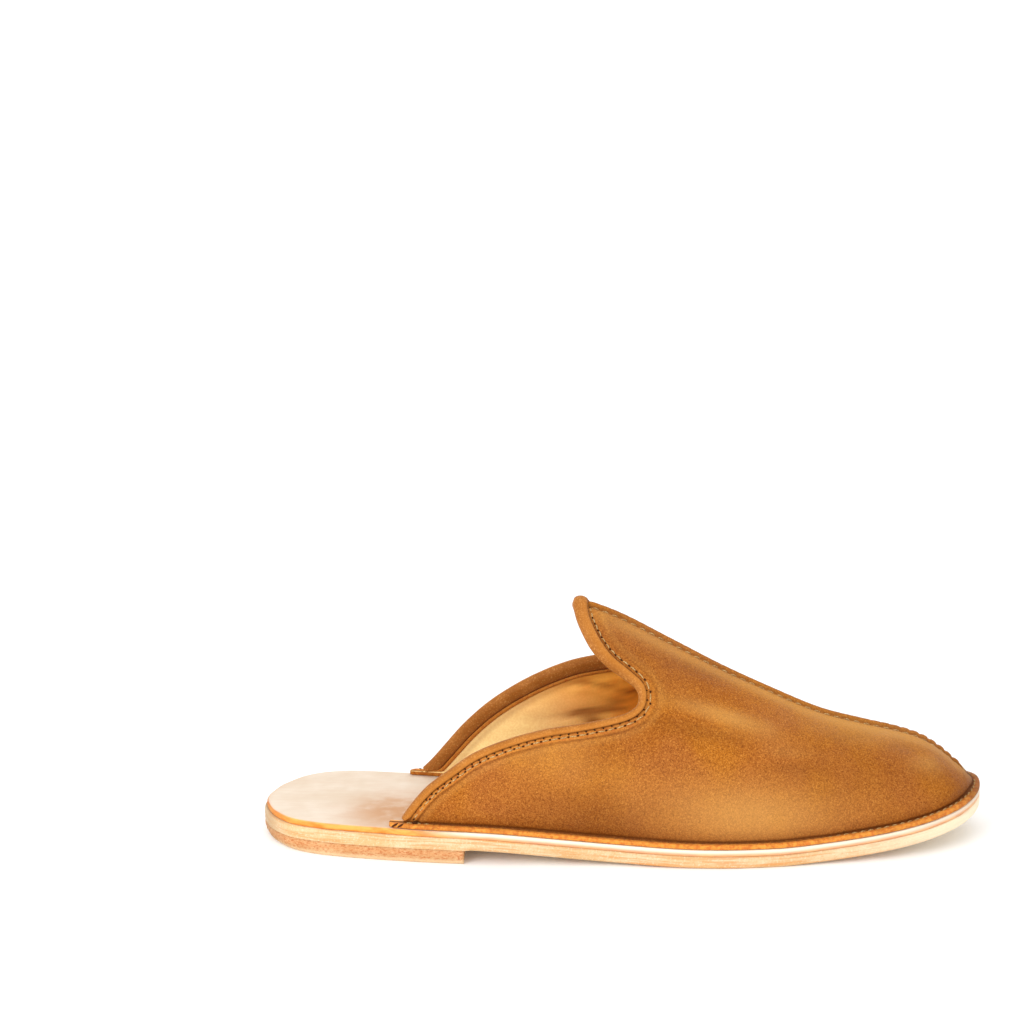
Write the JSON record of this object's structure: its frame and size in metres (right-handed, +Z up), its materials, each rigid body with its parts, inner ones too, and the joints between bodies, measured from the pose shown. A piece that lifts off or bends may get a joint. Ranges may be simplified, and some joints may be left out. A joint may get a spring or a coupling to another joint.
{
  "type": "mule shoe",
  "caption": "Backless leather slip-on shoe with a high tongue, low side wings, a bound topline, a stitched-down flange and a low stacked heel.",
  "frame": {"origin": "on the ground, under the middle of the shoe's length and width", "axes": "+X from the heel to the toe, +Z up, +Y to the inner side of a right foot, -Y to its outer side"},
  "size_m": [0.287, 0.0912, 0.0965],
  "materials": {
    "outsole": "smooth vegetable-tanned sole leather, matt cut edge",
    "insole": "natural undyed leather, matt",
    "heel_lift": "stacked sole leather, rough cut edge",
    "upper": "waxed tan leather, mottled, low sheen",
    "topline_binding": "smooth folded tan leather, low sheen",
    "lining": "natural undyed lining leather, smooth, matt",
    "thread": "waxed linen thread, beige, twisted"
  },
  "bodies": {
    "root": {"outsole": "outsole", "insole": "insole", "heel_lift": "heel_lift", "upper": "upper", "topline_binding": "topline_binding"}
  },
  "joints": []
}
